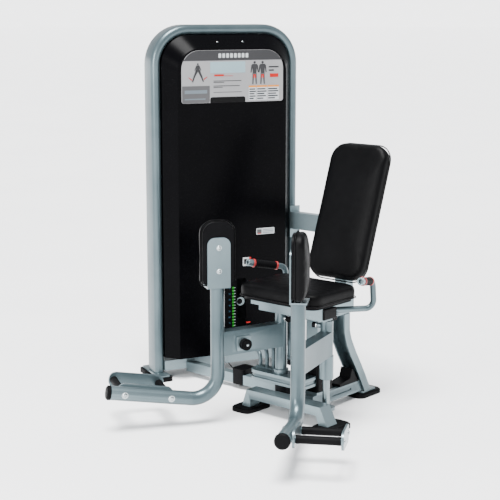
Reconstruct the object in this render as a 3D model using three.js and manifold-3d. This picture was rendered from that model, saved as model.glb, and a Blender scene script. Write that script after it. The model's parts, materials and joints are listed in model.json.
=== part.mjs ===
// Seated hip adductor machine: a weight tower, a seat on a low frame, and two swinging thigh arms.
// Millimetres, +Z up. The user faces -Y, so +X is the user's left. While it is being drawn, the origin
// is the floor point midway between the two arm pivots; the last lines move it under the whole machine.
import * as THREE from 'three';
import { mergeVertices } from 'three/addons/utils/BufferGeometryUtils.js';
import Module from 'manifold-3d';

const wasm = await Module();
wasm.setup();

// ---------------------------------------------------------------- driving dimensions
const GAP = 0.3; // clearance between pieces that touch
const RUNNING = 0.4; // radial clearance of a turning or sliding fit
const PAD_HEIGHT = 20; // rubber feet

// weight tower, drawn in its own frame: x is its depth towards the seat, y its width
const TOWER_HEIGHT = 1606;
const TOWER_HALF_WIDTH = 362;
const TOWER_DEPTH = 112;
const TOWER_TUBE = 44;
const TOWER_CORNER = 175;
const TOWER_DISTANCE = 822;
const TOWER_SHIFT = 6; // of its middle, across its width
const TOWER_TURN = -23.4;
const SHROUD_WALL = 5;
const SHROUD_BOTTOM = 100;
const SHROUD_RIM = 26;
const FRONT_FACE = 120;
const FRONT_INSET = 50;
const REAR_FACE = 102;
const REAR_INSET = 30;
const SLOT_WIDTH = 46;
const SLOT_BOTTOM = 120;
const SLOT_TOP = 450;
const PLACARD_HALF_WIDTH = 250;
const PLACARD_BOTTOM = 1263;
const PLACARD_TOP = 1495;
const PLACARD_THICKNESS = 3;
const BASE_BAR_BOTTOM = 36;
const BASE_BAR_TOP = 74;
const BASE_PLATE = 8;
const CROSSMEMBER_Z = 1385;

// weight stack
const STACK_Y = 40;
const STACK_BOTTOM = 135;
const PLATE_THICKNESS = 27;
const PLATE_GAP = 0.5;
const PLATE_PITCH = PLATE_THICKNESS + PLATE_GAP;
const PLATE_WIDTH = 300;
const PLATE_DEPTH = 110;
const RESTING_PLATES = 7;
const LIFTED_PLATES = 3;
const HEAD_THICKNESS = 30;
const ROD_RADIUS = 10;
const ROD_SPREAD = 115;
const STEM_RADIUS = 13;
const PIN_RADIUS = 4.75;
const KNOB_RADIUS = 20;
const CABLE_RADIUS = 3;
const TOP_PULLEY_RADIUS = 37.5;
const TOP_PULLEY_Z = 1480;
const BASE_PULLEY_RADIUS = 20;
const BASE_PULLEY_Z = 46;

// pivots and arms
const PIVOT_X = 121;
const SHAFT_RADIUS = 15;
const SHAFT_BOTTOM = 67.5;
const SLEEVE_RADIUS = 26;
const SLEEVE_BOTTOM = 185;
const SLEEVE_TOP = 430;
const COLLAR_RADIUS = 29;
const COLLAR_TOP = 284;
const PIVOT_PLATE_END = -225; // middle of the round end of the pivot base
const GUIDE_RADIUS = 9.5;
const GUIDE_SPACING = 36;
const CAM_THICKNESS = 44;
const GUARD = { from: -45, to: 40 };
const LINK_WIDTH = 50;
const LINK_BOTTOM = 285;
const LINK_TOP = 385;
const LINK_LENGTH = 310;
const LINK_SPLAY = 16.7;
const ARM_TUBE_RADIUS = 29;
const ARM_TOP = 570;
const ARM_BEND_RADIUS = 100;
const ARM_FOOT_Z = 95;
const FOOT_LENGTH = 452;
const FOOT_SPLAY = 32;
const FOOT_RISE = 9;
const CAP_LENGTH = 16;
const PAD_PLATE = 7;
const PAD_PLATE_WIDTH = 96;
const PAD_PLATE_SETBACK = 7; // of its back, inside the tube's outer line
const PAD_PLATE_TOP = 777;
const PAD_WIDTH = 150;
const PAD_THICKNESS = 60;
const PAD_TOP = 848;
const REST_BAR_RADIUS = 14;
const REST_WIDTH = 215;
const REST_LENGTH = 235;
const REST_HEIGHT = 68;
const REST_PLATE = 9;
const REST_FRONT_BAR = 55;
const REST_REAR_BAR = 248;
const BUMPER_REACH = 203;
const BUMPER_RADIUS = 24;
const BUMPER_LENGTH = 26;
const INDEX_Z = 407;
const INDEX_PIN_RADIUS = 5;

// low frame
const TRESTLE_TOP = 95;
const TRESTLE_LEFT = { top: 170, foot: 209 }; // reach of each end from the middle
const TRESTLE_RIGHT = { top: 222, foot: 247 };
const TRESTLE_FOOT = { x: 52, y: 82 }; // half sizes of its rubber feet
const TRESTLE_FOOT_INSET = 14;
const TRESTLE_BAR = 38;
const TRESTLE_FRONT = -105;
const TRESTLE_REAR = -40;
const RAIL_WIDTH = 55;
const RAIL_BOTTOM = 30;
const RAIL_TOP = 80;
const RAIL_END = 405;
const LEG_SPACING = 69;
const LEG_PLATE = 8;
const LEG_WIDTH = 38;
const POST_WIDTH = 60;
const POST_FRONT = 55;
const POST_REAR = 115;
const FLOOR_BAR_Y = 135;
const FLOOR_BAR_WIDTH = 40;
const FLOOR_BAR_BOTTOM = 22.5;
const FLOOR_BAR_TOP = 67.5;
const BRACE_WIDTH = 40;
const BRACE_BOTTOM = 656;
const BRACE_TOP = 735;

// seat
const SEAT_WIDTH = 418;
const SEAT_FRONT = -195;
const SEAT_REAR = 105;
const SEAT_BOTTOM = 508;
const SEAT_TOP = 577;
const BEAM_HALF_LENGTH = 188;
const BEAM_FRONT = -115;
const BEAM_REAR = -45;
const CARRIER_BOTTOM = 451.7;
const CARRIER_TOP = 457;
const SPINE_WIDTH = 70;
const SPINE_REAR = 300;
const BACK_WIDTH = 300;
const BACK_LENGTH = 598;
const BACK_THICKNESS = 70;
const BACK_RECLINE = 19;
const BACK_CENTRE = { y: 266, z: 843 };
const POST_PLATE_WIDTH = 60;
const POST_PLATE_DEPTH = 30;
const HANDLE_RADIUS = 12.5;
const GRIP_RADIUS = 16.5;
const GRIP_LENGTH = 121;
const FERRULE_LENGTH = 24;

// ---------------------------------------------------------------- small geometry tools
const v2 = (x, y) => new THREE.Vector2(x, y);
const v3 = (x, y, z) => new THREE.Vector3(x, y, z);
const rad = THREE.MathUtils.degToRad;

function signedVolume(geometry) {
  const position = geometry.attributes.position;
  const index = geometry.index;
  const a = v3(0, 0, 0);
  const b = v3(0, 0, 0);
  const c = v3(0, 0, 0);
  let sum = 0;
  for (let i = 0; i < index.count; i += 3) {
    a.fromBufferAttribute(position, index.getX(i));
    b.fromBufferAttribute(position, index.getX(i + 1));
    c.fromBufferAttribute(position, index.getX(i + 2));
    sum += a.dot(b.cross(c));
  }
  return sum / 6;
}

// Shares the vertices of a closed geometry and turns its faces outwards.
function closed(geometry) {
  const loose = geometry.index ? geometry.toNonIndexed() : geometry.clone();
  loose.deleteAttribute('normal');
  loose.deleteAttribute('uv');
  const merged = mergeVertices(loose, 1e-4);
  if (signedVolume(merged) < 0) {
    const faces = merged.index.array;
    for (let i = 0; i < faces.length; i += 3) {
      const first = faces[i];
      faces[i] = faces[i + 1];
      faces[i + 1] = first;
    }
  }
  return merged;
}

function solidOf(geometry) {
  const ready = closed(geometry);
  return new wasm.Manifold(new wasm.Mesh({
    numProp: 3,
    vertProperties: Float32Array.from(ready.attributes.position.array),
    triVerts: Uint32Array.from(ready.index.array),
  }));
}

function geometryOf(solid) {
  const mesh = solid.getMesh();
  const geometry = new THREE.BufferGeometry();
  geometry.setAttribute('position', new THREE.BufferAttribute(Float32Array.from(mesh.vertProperties), 3));
  geometry.setIndex(new THREE.BufferAttribute(Uint32Array.from(mesh.triVerts), 1));
  return geometry;
}

const join = (...pieces) => geometryOf(wasm.Manifold.union(pieces.map(solidOf)));
const cut = (body, ...tools) => geometryOf(solidOf(body).subtract(wasm.Manifold.union(tools.map(solidOf))));

function box(x0, x1, y0, y1, z0, z1) {
  const geometry = new THREE.BoxGeometry(x1 - x0, y1 - y0, z1 - z0);
  return geometry.translate((x0 + x1) / 2, (y0 + y1) / 2, (z0 + z1) / 2);
}

function arc(cx, cy, radius, from, to, steps = 6) {
  return Array.from({ length: steps + 1 }, (_, i) => {
    const angle = rad(from + ((to - from) * i) / steps);
    return v2(cx + radius * Math.cos(angle), cy + radius * Math.sin(angle));
  });
}

// Outline of a rectangle whose corners are rounded, anticlockwise from the lower right.
function roundedRectangle(x0, x1, y0, y1, radius, topRadius = radius, steps = 6) {
  return [
    ...arc(x1 - radius, y0 + radius, radius, -90, 0, steps),
    ...arc(x1 - topRadius, y1 - topRadius, topRadius, 0, 90, steps),
    ...arc(x0 + topRadius, y1 - topRadius, topRadius, 90, 180, steps),
    ...arc(x0 + radius, y0 + radius, radius, 180, 270, steps),
  ];
}

const circle = (radius, sides = 24) => arc(0, 0, radius, 0, 360 - 360 / sides, sides - 1);

// Raises an outline in the XY plane from z0 to z1.
function slab(outline, z0, z1) {
  const options = { depth: z1 - z0, bevelEnabled: false };
  return new THREE.ExtrudeGeometry(new THREE.Shape(outline), options).translate(0, 0, z0);
}

// Draws an outline of (y, z) points and gives it width along x.
function sideSlab(outline, x0, x1) {
  const toSide = new THREE.Matrix4().makeBasis(v3(0, 1, 0), v3(0, 0, 1), v3(1, 0, 0));
  return slab(outline, x0, x1).applyMatrix4(toSide);
}

// Draws an outline of (x, z) points and gives it depth along y.
function frontSlab(outline, y0, y1) {
  const toFront = new THREE.Matrix4().makeBasis(v3(1, 0, 0), v3(0, 0, 1), v3(0, -1, 0));
  return slab(outline, -y1, -y0).applyMatrix4(toFront);
}

function rod(radius, from, to, sides = 24) {
  const along = to.clone().sub(from);
  const geometry = new THREE.CylinderGeometry(radius, radius, along.length(), sides);
  const turn = new THREE.Quaternion().setFromUnitVectors(v3(0, 1, 0), along.clone().normalize());
  const middle = from.clone().add(to).multiplyScalar(0.5);
  return geometry.applyQuaternion(turn).translate(middle.x, middle.y, middle.z);
}

const upright = (radius, x, y, z0, z1, sides = 24) => rod(radius, v3(x, y, z0), v3(x, y, z1), sides);

// Rounds the inner corners of a list of points, for a bent tube's centreline.
function bent(points, radius, degreesPerStep = 9) {
  const line = [points[0]];
  for (let i = 1; i < points.length - 1; i += 1) {
    const back = points[i - 1].clone().sub(points[i]).normalize();
    const ahead = points[i + 1].clone().sub(points[i]).normalize();
    const half = back.angleTo(ahead) / 2;
    const inward = back.clone().add(ahead).normalize();
    const centre = points[i].clone().addScaledVector(inward, radius / Math.sin(half));
    const start = points[i].clone().addScaledVector(back, radius / Math.tan(half)).sub(centre);
    const end = points[i].clone().addScaledVector(ahead, radius / Math.tan(half)).sub(centre);
    const sweep = start.angleTo(end);
    const steps = Math.max(2, Math.ceil(sweep / rad(degreesPerStep)));
    for (let step = 0; step <= steps; step += 1) {
      const a = Math.sin(sweep * (1 - step / steps)) / Math.sin(sweep);
      const b = Math.sin((sweep * step) / steps) / Math.sin(sweep);
      line.push(centre.clone().addScaledVector(start, a).addScaledVector(end, b));
    }
  }
  line.push(points[points.length - 1]);
  return line;
}

// A path through given points. Its section starts with x along `side`, and doesn't twist.
class Route extends THREE.Curve {
  constructor(points, side) {
    super();
    this.points = points;
    this.side = side;
  }

  getPoint(t) {
    return this.points[Math.round(t * (this.points.length - 1))].clone();
  }

  getSpacedPoints() {
    return this.points;
  }

  computeFrenetFrames() {
    const last = this.points.length - 1;
    const step = (i) => this.points[i + 1].clone().sub(this.points[i]).normalize();
    const tangents = this.points.map((_, i) => {
      if (i === 0) return step(0);
      if (i === last) return step(last - 1);
      return step(i - 1).add(step(i)).normalize();
    });
    let side = this.side.clone();
    const normals = tangents.map((tangent) => {
      side = side.clone().addScaledVector(tangent, -side.dot(tangent)).normalize();
      return side;
    });
    const binormals = tangents.map((tangent, i) => tangent.clone().cross(normals[i]));
    return { tangents, normals, binormals };
  }
}

function sweep(outline, points, side) {
  return new THREE.ExtrudeGeometry(new THREE.Shape(outline), {
    steps: points.length - 1,
    bevelEnabled: false,
    extrudePath: new Route(points, side),
  });
}

// Skins outlines of (y, z) points, all with the same number of points, placed at depths along x.
function loft(layers) {
  const count = layers[0].outline.length;
  const corners = layers.flatMap(({ outline, x }) => outline.map((p) => v3(x, p.x, p.y)));
  const faces = [];
  for (let layer = 0; layer < layers.length - 1; layer += 1) {
    for (let i = 0; i < count; i += 1) {
      const a = layer * count + i;
      const b = layer * count + ((i + 1) % count);
      faces.push(a, b, b + count, a, b + count, a + count);
    }
  }
  const top = (layers.length - 1) * count;
  THREE.ShapeUtils.triangulateShape(layers[0].outline, []).forEach(([a, b, c]) => {
    faces.push(c, b, a, top + a, top + b, top + c);
  });
  const geometry = new THREE.BufferGeometry().setFromPoints(corners);
  geometry.setIndex(faces);
  return geometry;
}

const mirrored = (geometry) => geometry.clone().applyMatrix4(new THREE.Matrix4().makeScale(-1, 1, 1));

const FINISHES = {
  paint: { color: 0x8b9ba1, roughness: 0.36, metalness: 0.55 },
  steel: { color: 0xb9c0c2, roughness: 0.25, metalness: 0.9 },
  castIron: { color: 0x15171a, roughness: 0.6, metalness: 0.4 },
  glossBlack: { color: 0x060708, roughness: 0.12, metalness: 0 },
  black: { color: 0x0c0d0f, roughness: 0.55, metalness: 0 },
  vinyl: { color: 0x0b0b0d, roughness: 0.42, metalness: 0 },
  rubber: { color: 0x101112, roughness: 0.8, metalness: 0 },
  label: { color: 0xc9cbcc, roughness: 0.5, metalness: 0 },
};

function piece(parent, name, geometry, finish) {
  const material = new THREE.MeshStandardMaterial({ ...FINISHES[finish], flatShading: true });
  const mesh = new THREE.Mesh(closed(geometry), material);
  mesh.name = name;
  parent.add(mesh);
}

const machine = new THREE.Group();

// ---------------------------------------------------------------- weight tower
const tower = new THREE.Group();
tower.rotation.z = rad(TOWER_TURN);
tower.position.set(-TOWER_DISTANCE, TOWER_SHIFT, 0).applyEuler(tower.rotation);
tower.updateMatrix();
machine.add(tower);

const legY = TOWER_HALF_WIDTH - TOWER_TUBE / 2;
const innerHalfWidth = TOWER_HALF_WIDTH - TOWER_TUBE;
const innerTop = TOWER_HEIGHT - TOWER_TUBE;
const innerCorner = TOWER_CORNER - TOWER_TUBE;
const halfDepth = TOWER_DEPTH / 2;
const legBottom = PAD_HEIGHT + GAP;
const baseTop = BASE_BAR_TOP + BASE_PLATE;

function towerHoop() {
  const section = [
    ...arc(halfDepth - TOWER_TUBE / 2, 0, TOWER_TUBE / 2, -90, 90, 8),
    ...arc(TOWER_TUBE / 2 - halfDepth, 0, TOWER_TUBE / 2, 90, 270, 8),
  ];
  const top = TOWER_HEIGHT - TOWER_TUBE / 2;
  const line = bent([
    v3(0, -legY, legBottom), v3(0, -legY, top), v3(0, legY, top), v3(0, legY, legBottom),
  ], TOWER_CORNER - TOWER_TUBE / 2, 7.5);
  const plateHalf = halfDepth + 50;
  const footPlate = slab(roundedRectangle(-plateHalf, plateHalf, -30, 30, 12), legBottom, legBottom + 7);
  return join(
    sweep(section, line, v3(1, 0, 0)),
    footPlate.clone().translate(0, legY, 0),
    footPlate.clone().translate(0, -legY, 0),
  );
}

// Outline of a shroud: square at the foot, round at the head.
function arch(halfWidth, bottom, top, radius) {
  return [
    v2(-halfWidth, bottom), v2(halfWidth, bottom),
    ...arc(halfWidth - radius, top - radius, radius, 0, 90, 10),
    ...arc(radius - halfWidth, top - radius, radius, 90, 180, 10),
  ];
}

// A tray whose rim sits inside the hoop and whose face stands proud of it. side is 1 in front, -1 behind.
function shroud(side, face, inset) {
  const layers = (wall, back) => {
    const fit = GAP + wall;
    const base = arch(innerHalfWidth - fit, SHROUD_BOTTOM + wall, innerTop - fit, innerCorner);
    const head = arch(
      innerHalfWidth - inset - wall, SHROUD_BOTTOM + wall, innerTop - inset * 1.15 - wall, innerCorner - 20,
    );
    return [
      { outline: base, x: side * (halfDepth - SHROUD_RIM - back) },
      { outline: base, x: side * halfDepth },
      { outline: head, x: side * (face - wall) },
    ];
  };
  return cut(loft(layers(0, 0)), loft(layers(SHROUD_WALL, 5)));
}

function frontShroud() {
  const tray = shroud(1, FRONT_FACE, FRONT_INSET);
  const slot = box(
    FRONT_FACE - 30, FRONT_FACE + 30, STACK_Y - SLOT_WIDTH / 2, STACK_Y + SLOT_WIDTH / 2, SLOT_BOTTOM, SLOT_TOP,
  );
  return cut(tray, slot);
}

piece(tower, 'tower_hoop', towerHoop(), 'paint');
piece(tower, 'front_shroud', frontShroud(), 'glossBlack');
// The cable comes down behind the stack and leaves through a notch in the rear shroud's floor.
const cableBackX = -2 * TOP_PULLEY_RADIUS;
const cableNotch = box(
  cableBackX - 12, cableBackX + 12, STACK_Y - 12, STACK_Y + 12, SHROUD_BOTTOM - 5, SHROUD_BOTTOM + 10,
);
piece(tower, 'rear_shroud', cut(shroud(-1, REAR_FACE, REAR_INSET), cableNotch), 'glossBlack');

const placardOutline = roundedRectangle(
  -PLACARD_HALF_WIDTH, PLACARD_HALF_WIDTH, PLACARD_BOTTOM, PLACARD_TOP, 12, 85, 8,
);
const placardBack = FRONT_FACE + GAP;
piece(tower, 'placard', sideSlab(placardOutline, placardBack, placardBack + PLACARD_THICKNESS), 'label');

function towerBase() {
  const half = innerHalfWidth - GAP;
  const bar = (x0, x1) => box(x0, x1, -half, half, BASE_BAR_BOTTOM, BASE_BAR_TOP);
  return join(
    bar(halfDepth - 38, halfDepth),
    bar(2 - halfDepth, 26 - halfDepth),
    box(-halfDepth + 2, halfDepth, -half, half, BASE_BAR_TOP - 1, baseTop),
  );
}

// The base pulley stands in a notch of the base.
const pulleyNotch = box(
  -halfDepth - 5, 5, STACK_Y - BASE_PULLEY_RADIUS - 22, STACK_Y + BASE_PULLEY_RADIUS + 22, 0, BASE_BAR_TOP - 2,
);
piece(tower, 'tower_base', cut(towerBase(), pulleyNotch), 'paint');

[['front', 1], ['rear', -1]].forEach(([place, side]) => {
  [['left', 1], ['right', -1]].forEach(([hand, way]) => {
    const centre = side * (halfDepth + 12);
    const outline = roundedRectangle(centre - 46, centre + 46, way * legY - 42, way * legY + 42, 20);
    piece(tower, `tower_foot_${place}_${hand}`, slab(outline, 0, PAD_HEIGHT), 'rubber');
  });
});

// ---------------------------------------------------------------- weight stack
const rodYs = [STACK_Y - ROD_SPREAD, STACK_Y + ROD_SPREAD];
const liftedBottom = STACK_BOTTOM + RESTING_PLATES * PLATE_PITCH;
const liftedTop = liftedBottom + LIFTED_PLATES * PLATE_PITCH;
const headTop = liftedTop + HEAD_THICKNESS;
const pinZ = liftedBottom + PLATE_THICKNESS / 2;
const crossTop = CROSSMEMBER_Z + 30;

piece(tower, 'guide_rod_left', upright(ROD_RADIUS, 0, rodYs[1], baseTop + GAP, CROSSMEMBER_Z - GAP), 'steel');
piece(tower, 'guide_rod_right', upright(ROD_RADIUS, 0, rodYs[0], baseTop + GAP, CROSSMEMBER_Z - GAP), 'steel');

// Plates that stay or move together are one body, with a groove at each joint between two plates.
function plateBlock(count, bottom) {
  const half = PLATE_DEPTH / 2;
  const side = PLATE_WIDTH / 2;
  const top = bottom + count * PLATE_PITCH - PLATE_GAP;
  const parts = [box(2 - half, half - 2, STACK_Y - side + 2, STACK_Y + side - 2, bottom, top)];
  for (let i = 0; i < count; i += 1) {
    const z = bottom + i * PLATE_PITCH;
    parts.push(box(-half, half, STACK_Y - side, STACK_Y + side, z, z + PLATE_THICKNESS));
  }
  return join(...parts);
}

const rodHoles = rodYs.map((y) => upright(ROD_RADIUS + 1.5, 0, y, 0, TOWER_HEIGHT));

piece(tower, 'resting_plates', cut(
  plateBlock(RESTING_PLATES, STACK_BOTTOM),
  ...rodHoles,
  upright(STEM_RADIUS + 1.5, 0, STACK_Y, 0, TOWER_HEIGHT),
), 'castIron');

function liftingPlates() {
  const head = box(
    -PLATE_DEPTH / 2, PLATE_DEPTH / 2, STACK_Y - PLATE_WIDTH / 2, STACK_Y + PLATE_WIDTH / 2, liftedTop - 1, headTop,
  );
  const body = join(
    plateBlock(LIFTED_PLATES, liftedBottom),
    head,
    upright(STEM_RADIUS, 0, STACK_Y, STACK_BOTTOM + 5, headTop + 25),
  );
  const pinHole = rod(PIN_RADIUS + RUNNING, v3(-20, STACK_Y, pinZ), v3(PLATE_DEPTH, STACK_Y, pinZ));
  return cut(body, ...rodHoles, pinHole);
}

piece(tower, 'lifting_plates', liftingPlates(), 'castIron');

const knobBack = PLATE_DEPTH / 2 + 12;
piece(tower, 'selector_pin', join(
  rod(PIN_RADIUS, v3(-15, STACK_Y, pinZ), v3(knobBack + 5, STACK_Y, pinZ)),
  rod(KNOB_RADIUS, v3(knobBack, STACK_Y, pinZ), v3(FRONT_FACE - SHROUD_WALL - 2, STACK_Y, pinZ), 32),
), 'steel');

piece(tower, 'stack_buffer', cut(
  box(-27, 27, STACK_Y - 140, STACK_Y + 140, baseTop + GAP, STACK_BOTTOM - GAP),
  ...rodHoles,
  box(-17, 17, STACK_Y - 90, STACK_Y + 90, baseTop - 10, STACK_BOTTOM + 10),
), 'rubber');

function crossmember() {
  const beam = box(-30, 30, GAP - innerHalfWidth, innerHalfWidth - GAP, CROSSMEMBER_Z, crossTop);
  const ear = sideSlab([
    v2(STACK_Y - 14, crossTop - 1), v2(STACK_Y - 10, crossTop - 1),
    v2(STACK_Y - 10, TOP_PULLEY_Z + 14), v2(STACK_Y - 14, TOP_PULLEY_Z + 14),
  ], -TOP_PULLEY_RADIUS - 14, -5);
  const tail = box(-TOP_PULLEY_RADIUS - 14, -25, STACK_Y - 14, STACK_Y + 14, CROSSMEMBER_Z + 5, crossTop);
  const cableHole = upright(CABLE_RADIUS + 6, 0, STACK_Y, 0, TOWER_HEIGHT);
  const axleEnd = (y) => v3(-TOP_PULLEY_RADIUS, y, TOP_PULLEY_Z);
  const axle = rod(6, axleEnd(STACK_Y - 14), axleEnd(STACK_Y + 14));
  return cut(join(beam, tail, ear, ear.clone().translate(0, 24, 0), axle), cableHole);
}

piece(tower, 'crossmember', crossmember(), 'paint');

// A grooved wheel about the y axis, with its bore.
function pulley(radius, bore, width) {
  const profile = [
    v2(bore, -width / 2), v2(radius + 4, -width / 2), v2(radius + 4, -width / 2 + 2),
    v2(radius - CABLE_RADIUS - GAP, -CABLE_RADIUS), v2(radius - CABLE_RADIUS - GAP, CABLE_RADIUS),
    v2(radius + 4, width / 2 - 2), v2(radius + 4, width / 2), v2(bore, width / 2), v2(bore, -width / 2),
  ];
  return new THREE.LatheGeometry(profile, 32);
}

piece(tower, 'top_pulley', pulley(TOP_PULLEY_RADIUS, 6 + RUNNING, 16)
  .translate(-TOP_PULLEY_RADIUS, STACK_Y, TOP_PULLEY_Z), 'black');

// The cable's moving part shortens as the stack rises; the rest runs over the pulleys to the floor block.
const cableBottom = headTop + 25 + GAP;
piece(tower, 'lift_cable', upright(CABLE_RADIUS, 0, STACK_Y, cableBottom, TOP_PULLEY_Z - 2 * GAP, 10), 'black');

// ---------------------------------------------------------------- low frame
const blockX = { from: -500, to: -430 };
const blockY = { from: 112, to: 200 };
const blockZ = { from: 20, to: 92 };

function driveCableLine() {
  const top = arc(-TOP_PULLEY_RADIUS, TOP_PULLEY_Z, TOP_PULLEY_RADIUS, 0, 180, 12)
    .map((p) => v3(p.x, STACK_Y, p.y).applyMatrix4(tower.matrix));
  const foot = v3(cableBackX, STACK_Y, 0).applyMatrix4(tower.matrix);
  const target = v3(blockX.from - CABLE_RADIUS, blockY.to - 20, 0);
  const aim = target.clone().sub(foot).normalize();
  const turn = arc(BASE_PULLEY_RADIUS, BASE_PULLEY_Z, BASE_PULLEY_RADIUS, 180, 270, 6)
    .map((p) => foot.clone().addScaledVector(aim, p.x).setZ(p.y));
  const end = target.clone().setZ(BASE_PULLEY_Z - BASE_PULLEY_RADIUS);
  return { line: [...top, ...turn, end], foot, aim };
}

const drive = driveCableLine();
piece(machine, 'drive_cable', sweep(circle(CABLE_RADIUS, 10), drive.line, v3(1, 0.2, 0)), 'black');

const basePulleyTurn = Math.atan2(drive.aim.y, drive.aim.x);
const basePulleyCentre = drive.foot.clone().addScaledVector(drive.aim, BASE_PULLEY_RADIUS);
piece(machine, 'base_pulley', pulley(BASE_PULLEY_RADIUS, 5, 14).rotateZ(basePulleyTurn)
  .translate(basePulleyCentre.x, basePulleyCentre.y, BASE_PULLEY_Z), 'black');

function trestle() {
  const inner = TRESTLE_TOP - TRESTLE_BAR;
  const ends = [
    v2(TRESTLE_LEFT.foot, legBottom), v2(TRESTLE_LEFT.top, TRESTLE_TOP),
    v2(-TRESTLE_RIGHT.top, TRESTLE_TOP), v2(-TRESTLE_RIGHT.foot, legBottom),
    v2(44 - TRESTLE_RIGHT.foot, legBottom), v2(22 - TRESTLE_RIGHT.top, inner),
    v2(TRESTLE_LEFT.top - 22, inner), v2(TRESTLE_LEFT.foot - 44, legBottom),
  ];
  const bearingTop = SHAFT_BOTTOM - GAP;
  const bearingOutline = roundedRectangle(-PIVOT_X - 38, PIVOT_X + 38, TRESTLE_REAR - 1, 32, 0.5, 30);
  const bearingPlate = slab(bearingOutline, bearingTop - 12, bearingTop);
  return join(frontSlab(ends, TRESTLE_FRONT, TRESTLE_REAR), bearingPlate);
}

const rearLegLine = [
  v3(0, 250, 399), v3(0, 251, 323), v3(0, 266, 275), v3(0, 300, 212),
  v3(0, 338, 150), v3(0, 372, 93), v3(0, 408, 26),
];

function rearLeg() {
  const half = LEG_WIDTH / 2;
  const outer = LEG_SPACING / 2 + LEG_PLATE / 2;
  const strip = (x0, x1, y0, y1) => {
    const section = [v2(x0, y0), v2(x1, y0), v2(x1, y1), v2(x0, y1)];
    return sweep(section, rearLegLine, v3(1, 0, 0));
  };
  const foot = slab(roundedRectangle(-outer, outer, 368, 470, 10), legBottom, legBottom + 7);
  const floorCut = box(-200, 200, 200, 600, -100, legBottom);
  const railHalf = RAIL_WIDTH / 2 + GAP;
  const railCut = box(-railHalf, railHalf, -50, RAIL_END + GAP, legBottom + 7, RAIL_TOP + GAP);
  const leg = join(
    strip(-outer, LEG_PLATE - outer, -half, half),
    strip(outer - LEG_PLATE, outer, -half, half),
    strip(-outer, outer, -half, LEG_PLATE - half),
    foot,
  );
  return cut(leg, floorCut, railCut);
}

function rail() {
  const half = RAIL_WIDTH / 2;
  const front = TRESTLE_REAR + GAP;
  const bar = box(-half, half, front, RAIL_END, RAIL_BOTTOM, RAIL_TOP);
  const plateNotch = box(-half - 1, half + 1, front - 1, 32 + GAP, SHAFT_BOTTOM - 2 * GAP - 12, RAIL_TOP + 1);
  const topSlot = box(-9, 9, 160, 385, RAIL_BOTTOM - 1, RAIL_TOP + 1);
  const sideSlots = [1, -1].map((side) => {
    const x = side * half;
    return box(x - 4, x + 4, 165, 300, 50, 60);
  });
  return cut(bar, plateNotch, topSlot, ...sideSlots);
}

function floorFoot(x, y, halfX, halfY) {
  const edge = slab(roundedRectangle(x - halfX, x + halfX, y - halfY, y + halfY, 30), 0, PAD_HEIGHT - 5);
  const top = slab(roundedRectangle(x - halfX + 5, x + halfX - 5, y - halfY + 5, y + halfY - 5, 26), 1, PAD_HEIGHT);
  return join(edge, top);
}

piece(machine, 'trestle', trestle(), 'paint');
const trestleFeet = { left: TRESTLE_LEFT.foot - TRESTLE_FOOT_INSET, right: TRESTLE_FOOT_INSET - TRESTLE_RIGHT.foot };
Object.entries(trestleFeet).forEach(([hand, x]) => {
  piece(machine, `trestle_foot_${hand}`, floorFoot(x, -62, TRESTLE_FOOT.x, TRESTLE_FOOT.y), 'rubber');
});
piece(machine, 'rail', rail(), 'paint');
piece(machine, 'rear_leg', rearLeg(), 'paint');
piece(machine, 'rear_foot', floorFoot(0, 424, 52, 80), 'rubber');

const coverX = LEG_SPACING / 2 - LEG_PLATE / 2 - GAP;
piece(machine, 'leg_cover', sideSlab([
  v2(215, RAIL_TOP + GAP), v2(345, RAIL_TOP + GAP), v2(314, 132), v2(301, 145), v2(288, 105), v2(215, 92),
], -coverX, coverX), 'black');

const postTop = 400 - GAP;
piece(machine, 'centre_post', box(
  -POST_WIDTH / 2, POST_WIDTH / 2, POST_FRONT, POST_REAR, RAIL_TOP + GAP, postTop,
), 'paint');

function pivotBase() {
  const rear = POST_FRONT - GAP;
  const plate = (z0, z1, inset) => slab([
    v2(POST_WIDTH / 2 - inset, inset - 45), v2(POST_WIDTH / 2 - inset, rear), v2(PIVOT_PLATE_END, 45 - inset),
    ...arc(PIVOT_PLATE_END, 0, 45 - inset, 90, 270, 10),
  ], z0, z1);
  const body = join(
    plate(124, 136, 0),
    plate(135, 153, 5),
    plate(152, 166, 0),
    upright(33, -PIVOT_X, 0, 165, SLEEVE_BOTTOM - 1),
  );
  return cut(body, upright(SHAFT_RADIUS + RUNNING, -PIVOT_X, 0, 0, 300));
}

piece(machine, 'pivot_base', pivotBase(), 'paint');

piece(machine, 'cam_guard', cut(
  slab(roundedRectangle(GUARD.from, GUARD.to, 48, 152, 10), 95, 285),
  box(GUARD.from + 4, GUARD.to - 4, 52, 148, 90, 281),
  box(-POST_WIDTH / 2 - GAP, POST_WIDTH / 2 + GAP, POST_FRONT - GAP, POST_REAR + GAP, 270, 300),
  box(GUARD.from - 10, POST_WIDTH / 2 + 1, 40, POST_FRONT, 123, 167),
), 'black');

// Three bent tubes that lead off the pivot base towards the tower, each passing over the last.
function guideTubes() {
  const plateTop = 166 + GAP;
  const first = PIVOT_PLATE_END - 23;
  const reach = 2 * GUIDE_SPACING + GUIDE_RADIUS + 5;
  const parts = [box(first - GUIDE_RADIUS - 5, first + reach, 2, 34, plateTop, plateTop + 5)];
  for (let i = 0; i < 3; i += 1) {
    const x = first + i * GUIDE_SPACING;
    const top = 218 + i * (2 * GUIDE_RADIUS + 5);
    const line = bent([v3(x, 18, plateTop), v3(x, 18, top), v3(x - 50 - i * 12, 40 + i * 5, top + 14)], 26, 15);
    parts.push(sweep(circle(GUIDE_RADIUS, 16), line, v3(0, 1, 0)));
  }
  return join(...parts);
}

piece(machine, 'guide_tubes', guideTubes(), 'paint');

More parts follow.
